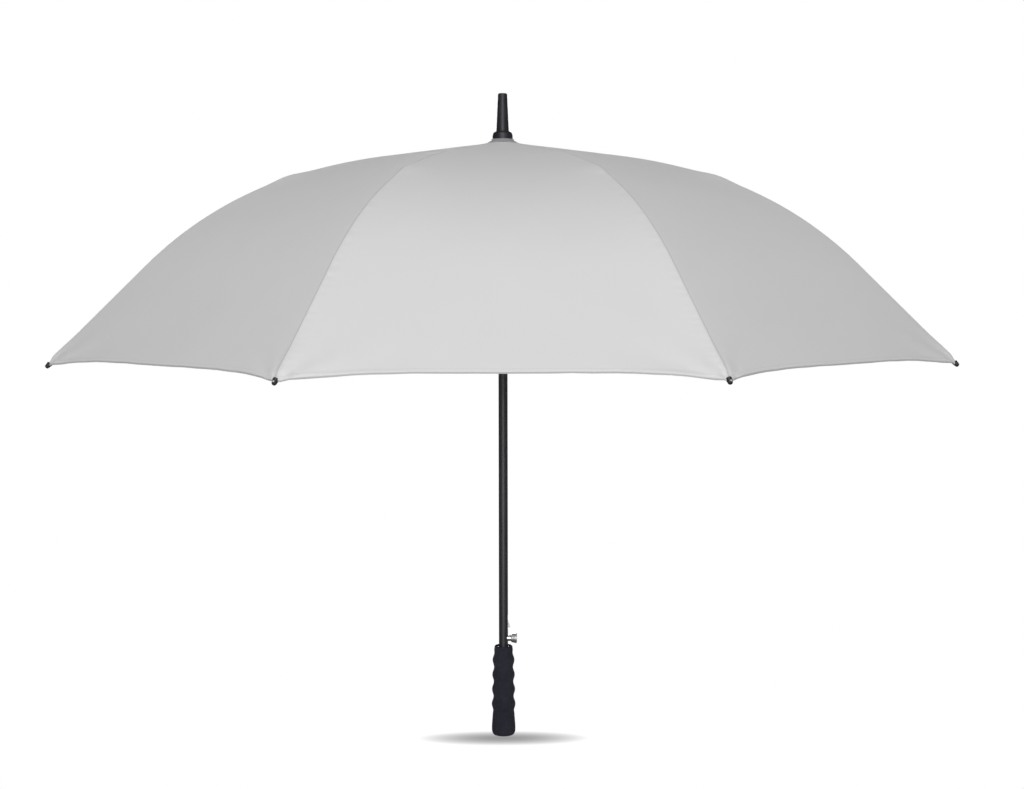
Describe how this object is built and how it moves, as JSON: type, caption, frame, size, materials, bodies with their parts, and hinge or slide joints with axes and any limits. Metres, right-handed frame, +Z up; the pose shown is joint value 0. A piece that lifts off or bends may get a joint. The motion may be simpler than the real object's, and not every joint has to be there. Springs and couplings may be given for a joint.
{
  "type": "automatic stick umbrella",
  "caption": "Automatic stick umbrella, shown open: pale grey canopy on a folding ribbed frame, black shaft, sprung push button and waved foam grip.",
  "frame": {"origin": "centre of the handle's end face", "axes": "+Z up along the shaft towards the ferrule, +X towards the push button, +Y across"},
  "size_m": [1.118, 1.118, 0.8827],
  "materials": {
    "silver_cloth": "fine plain weave with a silver coating, slight sheen",
    "black_steel": "satin black lacquer",
    "rib_black": "black fibreglass rod with moulded fittings",
    "black_plastic": "semi-gloss moulded plastic",
    "spring_steel": "bright drawn wire",
    "chrome": "polished",
    "foam_grip": "matte closed-cell foam"
  },
  "bodies": {
    "shaft": {"shaft_tube": "black_steel", "ferrule": "black_plastic", "crown_cap": "black_plastic", "crown_rosette": "silver_cloth", "top_notch": "black_plastic", "notch_wire": "spring_steel", "notch_rivet": "spring_steel", "handle_grip": "foam_grip", "handle_core": "black_plastic", "handle_end_cap": "black_plastic", "trigger_block": "black_plastic", "button_spring": "spring_steel"},
    "rib_inner_1": {"rib_inner_1": "rib_black", "canopy_gore_1": "silver_cloth"},
    "rib_outer_1": {"rib_outer_1": "rib_black"},
    "stretcher_1": {"stretcher_1": "black_steel"},
    "strut_1": {"strut_1": "black_steel"},
    "rib_inner_2": {"rib_inner_2": "rib_black", "canopy_gore_2": "silver_cloth"},
    "rib_outer_2": {"rib_outer_2": "rib_black"},
    "stretcher_2": {"stretcher_2": "black_steel"},
    "strut_2": {"strut_2": "black_steel"},
    "rib_inner_3": {"rib_inner_3": "rib_black", "canopy_gore_3": "silver_cloth"},
    "rib_outer_3": {"rib_outer_3": "rib_black"},
    "stretcher_3": {"stretcher_3": "black_steel"},
    "strut_3": {"strut_3": "black_steel"},
    "rib_inner_4": {"rib_inner_4": "rib_black", "canopy_gore_4": "silver_cloth"},
    "rib_outer_4": {"rib_outer_4": "rib_black"},
    "stretcher_4": {"stretcher_4": "black_steel"},
    "strut_4": {"strut_4": "black_steel"},
    "rib_inner_5": {"rib_inner_5": "rib_black", "canopy_gore_5": "silver_cloth"},
    "rib_outer_5": {"rib_outer_5": "rib_black"},
    "stretcher_5": {"stretcher_5": "black_steel"},
    "strut_5": {"strut_5": "black_steel"},
    "rib_inner_6": {"rib_inner_6": "rib_black", "canopy_gore_6": "silver_cloth"},
    "rib_outer_6": {"rib_outer_6": "rib_black"},
    "stretcher_6": {"stretcher_6": "black_steel"},
    "strut_6": {"strut_6": "black_steel"},
    "rib_inner_7": {"rib_inner_7": "rib_black", "canopy_gore_7": "silver_cloth"},
    "rib_outer_7": {"rib_outer_7": "rib_black"},
    "stretcher_7": {"stretcher_7": "black_steel"},
    "strut_7": {"strut_7": "black_steel"},
    "rib_inner_8": {"rib_inner_8": "rib_black", "canopy_gore_8": "silver_cloth"},
    "rib_outer_8": {"rib_outer_8": "rib_black"},
    "stretcher_8": {"stretcher_8": "black_steel"},
    "strut_8": {"strut_8": "black_steel"},
    "hub": {"spring_hub": "black_plastic", "hub_wire": "spring_steel", "opening_spring": "spring_steel"},
    "runner": {"runner": "black_plastic", "runner_wire": "spring_steel"},
    "button": {"push_button": "chrome"},
    "catch": {"catch_lever": "chrome"}
  },
  "joints": [
    {"name": "rib_fold_1", "type": "hinge", "parent": "shaft", "child": "rib_inner_1", "pos_m": [0.01109, 0.00459, 0.813], "axis": [-0.3827, 0.9239, 0], "range_deg": [0, 73.38], "stiffness_Nm_per_rad": 2.5, "springref_deg": -68.75, "deforming": ["canopy_gore_1"]},
    {"name": "rib_fold_2", "type": "hinge", "parent": "shaft", "child": "rib_inner_2", "pos_m": [0.00459, 0.01109, 0.813], "axis": [-0.9239, 0.3827, 0], "range_deg": [0, 73.39], "deforming": ["canopy_gore_2"]},
    {"name": "rib_fold_3", "type": "hinge", "parent": "shaft", "child": "rib_inner_3", "pos_m": [-0.00459, 0.01109, 0.813], "axis": [-0.9239, -0.3827, 0], "range_deg": [0, 73.39], "deforming": ["canopy_gore_3"]},
    {"name": "rib_fold_4", "type": "hinge", "parent": "shaft", "child": "rib_inner_4", "pos_m": [-0.01109, 0.00459, 0.813], "axis": [-0.3827, -0.9239, 0], "range_deg": [0, 73.39], "deforming": ["canopy_gore_4"]},
    {"name": "rib_fold_5", "type": "hinge", "parent": "shaft", "child": "rib_inner_5", "pos_m": [-0.01109, -0.00459, 0.813], "axis": [0.3827, -0.9239, 0], "range_deg": [0, 73.39], "deforming": ["canopy_gore_5"]},
    {"name": "rib_fold_6", "type": "hinge", "parent": "shaft", "child": "rib_inner_6", "pos_m": [-0.00459, -0.01109, 0.813], "axis": [0.9239, -0.3827, 0], "range_deg": [0, 73.39], "deforming": ["canopy_gore_6"]},
    {"name": "rib_fold_7", "type": "hinge", "parent": "shaft", "child": "rib_inner_7", "pos_m": [0.00459, -0.01109, 0.813], "axis": [0.9239, 0.3827, 0], "range_deg": [0, 73.39], "deforming": ["canopy_gore_7"]},
    {"name": "rib_fold_8", "type": "hinge", "parent": "shaft", "child": "rib_inner_8", "pos_m": [0.01109, -0.00459, 0.813], "axis": [0.3827, 0.9239, 0], "range_deg": [0, 73.39], "deforming": ["canopy_gore_8"]},
    {"name": "rib_flex_1", "type": "hinge", "parent": "rib_inner_1", "child": "rib_outer_1", "pos_m": [0.27644, 0.1145, 0.7576], "axis": [-0.3827, 0.9239, 0], "range_deg": [-21.84, 0]},
    {"name": "rib_flex_2", "type": "hinge", "parent": "rib_inner_2", "child": "rib_outer_2", "pos_m": [0.1145, 0.27644, 0.7576], "axis": [-0.9239, 0.3827, 0], "range_deg": [-21.84, 0]},
    {"name": "rib_flex_3", "type": "hinge", "parent": "rib_inner_3", "child": "rib_outer_3", "pos_m": [-0.1145, 0.27644, 0.7576], "axis": [-0.9239, -0.3827, 0], "range_deg": [-21.84, 0]},
    {"name": "rib_flex_4", "type": "hinge", "parent": "rib_inner_4", "child": "rib_outer_4", "pos_m": [-0.27644, 0.1145, 0.7576], "axis": [-0.3827, -0.9239, 0], "range_deg": [-21.84, 0]},
    {"name": "rib_flex_5", "type": "hinge", "parent": "rib_inner_5", "child": "rib_outer_5", "pos_m": [-0.27644, -0.1145, 0.7576], "axis": [0.3827, -0.9239, 0], "range_deg": [-21.84, 0]},
    {"name": "rib_flex_6", "type": "hinge", "parent": "rib_inner_6", "child": "rib_outer_6", "pos_m": [-0.1145, -0.27644, 0.7576], "axis": [0.9239, -0.3827, 0], "range_deg": [-21.84, 0]},
    {"name": "rib_flex_7", "type": "hinge", "parent": "rib_inner_7", "child": "rib_outer_7", "pos_m": [0.1145, -0.27644, 0.7576], "axis": [0.9239, 0.3827, 0], "range_deg": [-21.84, 0]},
    {"name": "rib_flex_8", "type": "hinge", "parent": "rib_inner_8", "child": "rib_outer_8", "pos_m": [0.27644, -0.1145, 0.7576], "axis": [0.3827, 0.9239, 0], "range_deg": [-21.84, 0]},
    {"name": "stretcher_fold_1", "type": "hinge", "parent": "rib_inner_1", "child": "stretcher_1", "pos_m": [0.27644, 0.1145, 0.7576], "axis": [-0.3827, 0.9239, 0], "range_deg": [-146.82, 0]},
    {"name": "stretcher_fold_2", "type": "hinge", "parent": "rib_inner_2", "child": "stretcher_2", "pos_m": [0.1145, 0.27644, 0.7576], "axis": [-0.9239, 0.3827, 0], "range_deg": [-146.82, 0]},
    {"name": "stretcher_fold_3", "type": "hinge", "parent": "rib_inner_3", "child": "stretcher_3", "pos_m": [-0.1145, 0.27644, 0.7576], "axis": [-0.9239, -0.3827, 0], "range_deg": [-146.82, 0]},
    {"name": "stretcher_fold_4", "type": "hinge", "parent": "rib_inner_4", "child": "stretcher_4", "pos_m": [-0.27644, 0.1145, 0.7576], "axis": [-0.3827, -0.9239, 0], "range_deg": [-146.82, 0]},
    {"name": "stretcher_fold_5", "type": "hinge", "parent": "rib_inner_5", "child": "stretcher_5", "pos_m": [-0.27644, -0.1145, 0.7576], "axis": [0.3827, -0.9239, 0], "range_deg": [-146.82, 0]},
    {"name": "stretcher_fold_6", "type": "hinge", "parent": "rib_inner_6", "child": "stretcher_6", "pos_m": [-0.1145, -0.27644, 0.7576], "axis": [0.9239, -0.3827, 0], "range_deg": [-146.82, 0]},
    {"name": "stretcher_fold_7", "type": "hinge", "parent": "rib_inner_7", "child": "stretcher_7", "pos_m": [0.1145, -0.27644, 0.7576], "axis": [0.9239, 0.3827, 0], "range_deg": [-146.82, 0]},
    {"name": "stretcher_fold_8", "type": "hinge", "parent": "rib_inner_8", "child": "stretcher_8", "pos_m": [0.27644, -0.1145, 0.7576], "axis": [0.3827, 0.9239, 0], "range_deg": [-146.82, 0]},
    {"name": "hub_guide", "type": "hinge", "parent": "stretcher_1", "child": "hub", "pos_m": [0.01109, 0.00459, 0.70221], "axis": [-0.3827, 0.9239, 0], "range_deg": [0, 73.4]},
    {"name": "runner_slide", "type": "slide", "parent": "hub", "child": "runner", "axis": [0, 0, 1], "range_m": [0, 0.03851], "deforming": ["opening_spring"]},
    {"name": "strut_fold_1", "type": "hinge", "parent": "runner", "child": "strut_1", "pos_m": [0.01478, 0.00612, 0.62838], "axis": [-0.3827, 0.9239, 0], "range_deg": [-39.39, 0]},
    {"name": "strut_fold_2", "type": "hinge", "parent": "runner", "child": "strut_2", "pos_m": [0.00612, 0.01478, 0.62838], "axis": [-0.9239, 0.3827, 0], "range_deg": [-39.39, 0]},
    {"name": "strut_fold_3", "type": "hinge", "parent": "runner", "child": "strut_3", "pos_m": [-0.00612, 0.01478, 0.62838], "axis": [-0.9239, -0.3827, 0], "range_deg": [-39.39, 0]},
    {"name": "strut_fold_4", "type": "hinge", "parent": "runner", "child": "strut_4", "pos_m": [-0.01478, 0.00612, 0.62838], "axis": [-0.3827, -0.9239, 0], "range_deg": [-39.39, 0]},
    {"name": "strut_fold_5", "type": "hinge", "parent": "runner", "child": "strut_5", "pos_m": [-0.01478, -0.00612, 0.62838], "axis": [0.3827, -0.9239, 0], "range_deg": [-39.39, 0]},
    {"name": "strut_fold_6", "type": "hinge", "parent": "runner", "child": "strut_6", "pos_m": [-0.00612, -0.01478, 0.62838], "axis": [0.9239, -0.3827, 0], "range_deg": [-39.39, 0]},
    {"name": "strut_fold_7", "type": "hinge", "parent": "runner", "child": "strut_7", "pos_m": [0.00612, -0.01478, 0.62838], "axis": [0.9239, 0.3827, 0], "range_deg": [-39.39, 0]},
    {"name": "strut_fold_8", "type": "hinge", "parent": "runner", "child": "strut_8", "pos_m": [0.01478, -0.00612, 0.62838], "axis": [0.3827, 0.9239, 0], "range_deg": [-39.39, 0]},
    {"name": "button_press", "type": "slide", "parent": "shaft", "child": "button", "axis": [-1, 0, 0], "range_m": [0, 0.003], "stiffness_N_per_m": 400, "springref_m": -0.003, "deforming": ["button_spring"]},
    {"name": "catch_press", "type": "hinge", "parent": "shaft", "child": "catch", "pos_m": [0.003, 0, 0.162], "axis": [0, 1, 0], "range_deg": [0, 15], "stiffness_Nm_per_rad": 0.05, "springref_deg": -17.19}
  ],
  "couplings": [
    {"joint": "rib_fold_2", "follows": "rib_fold_1", "ratio": 1},
    {"joint": "rib_fold_3", "follows": "rib_fold_1", "ratio": 1},
    {"joint": "rib_fold_4", "follows": "rib_fold_1", "ratio": 1},
    {"joint": "rib_fold_5", "follows": "rib_fold_1", "ratio": 1},
    {"joint": "rib_fold_6", "follows": "rib_fold_1", "ratio": 1},
    {"joint": "rib_fold_7", "follows": "rib_fold_1", "ratio": 1},
    {"joint": "rib_fold_8", "follows": "rib_fold_1", "ratio": 1},
    {"joint": "rib_flex_1", "follows": "rib_fold_1", "ratio": -0.29699},
    {"joint": "rib_flex_2", "follows": "rib_fold_1", "ratio": -0.29699},
    {"joint": "rib_flex_3", "follows": "rib_fold_1", "ratio": -0.29699},
    {"joint": "rib_flex_4", "follows": "rib_fold_1", "ratio": -0.29699},
    {"joint": "rib_flex_5", "follows": "rib_fold_1", "ratio": -0.29699},
    {"joint": "rib_flex_6", "follows": "rib_fold_1", "ratio": -0.29699},
    {"joint": "rib_flex_7", "follows": "rib_fold_1", "ratio": -0.29699},
    {"joint": "rib_flex_8", "follows": "rib_fold_1", "ratio": -0.29699},
    {"joint": "stretcher_fold_1", "follows": "rib_fold_1", "ratio": -2},
    {"joint": "stretcher_fold_2", "follows": "rib_fold_1", "ratio": -2},
    {"joint": "stretcher_fold_3", "follows": "rib_fold_1", "ratio": -2},
    {"joint": "stretcher_fold_4", "follows": "rib_fold_1", "ratio": -2},
    {"joint": "stretcher_fold_5", "follows": "rib_fold_1", "ratio": -2},
    {"joint": "stretcher_fold_6", "follows": "rib_fold_1", "ratio": -2},
    {"joint": "stretcher_fold_7", "follows": "rib_fold_1", "ratio": -2},
    {"joint": "stretcher_fold_8", "follows": "rib_fold_1", "ratio": -2},
    {"joint": "hub_guide", "follows": "rib_fold_1", "ratio": 1},
    {"joint": "runner_slide", "follows": "rib_fold_1", "m_per_rad": 0.030049},
    {"joint": "strut_fold_1", "follows": "rib_fold_1", "ratio": -0.53616},
    {"joint": "strut_fold_2", "follows": "rib_fold_1", "ratio": -0.53616},
    {"joint": "strut_fold_3", "follows": "rib_fold_1", "ratio": -0.53616},
    {"joint": "strut_fold_4", "follows": "rib_fold_1", "ratio": -0.53616},
    {"joint": "strut_fold_5", "follows": "rib_fold_1", "ratio": -0.53616},
    {"joint": "strut_fold_6", "follows": "rib_fold_1", "ratio": -0.53616},
    {"joint": "strut_fold_7", "follows": "rib_fold_1", "ratio": -0.53616},
    {"joint": "strut_fold_8", "follows": "rib_fold_1", "ratio": -0.53616}
  ]
}
